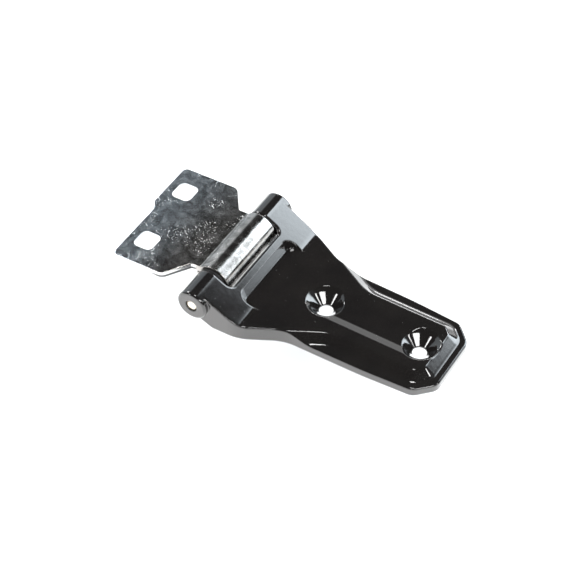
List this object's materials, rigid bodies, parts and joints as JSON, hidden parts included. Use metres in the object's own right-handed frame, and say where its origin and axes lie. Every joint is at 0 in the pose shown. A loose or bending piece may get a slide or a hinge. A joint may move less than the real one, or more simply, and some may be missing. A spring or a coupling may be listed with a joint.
{
  "type": "offset strap hinge",
  "caption": "Offset T-shaped strap hinge: a cast strap leaf with barrels and screw holes, and a rolled sheet leaf with square holes, turning on one pin.",
  "frame": {"origin": "centre of the two-screw pattern, on the flat back of the strap leaf", "axes": "+X along the strap from the hinge pin towards the tip, +Y along the hinge pin, +Z out of the strap's back towards its visible face"},
  "size_m": [0.108, 0.05, 0.0138],
  "materials": {
    "black_paint": "gloss black powder coat over a zinc die casting",
    "zinc_sheet": "zinc plated, matt, lightly scratched",
    "pin_steel": "bright plain steel",
    "bush_plastic": "matt black nylon"
  },
  "bodies": {
    "strap": {"strap_leaf": "black_paint", "hinge_pin": "pin_steel"},
    "plate": {"plate_leaf": "zinc_sheet", "near_bush": "bush_plastic", "far_bush": "bush_plastic"}
  },
  "joints": [
    {"name": "plate_swing", "type": "hinge", "parent": "strap", "child": "plate", "pos_m": [-0.048, 0, 0.008], "axis": [0, 1, 0], "range_deg": [-120, 120]}
  ]
}
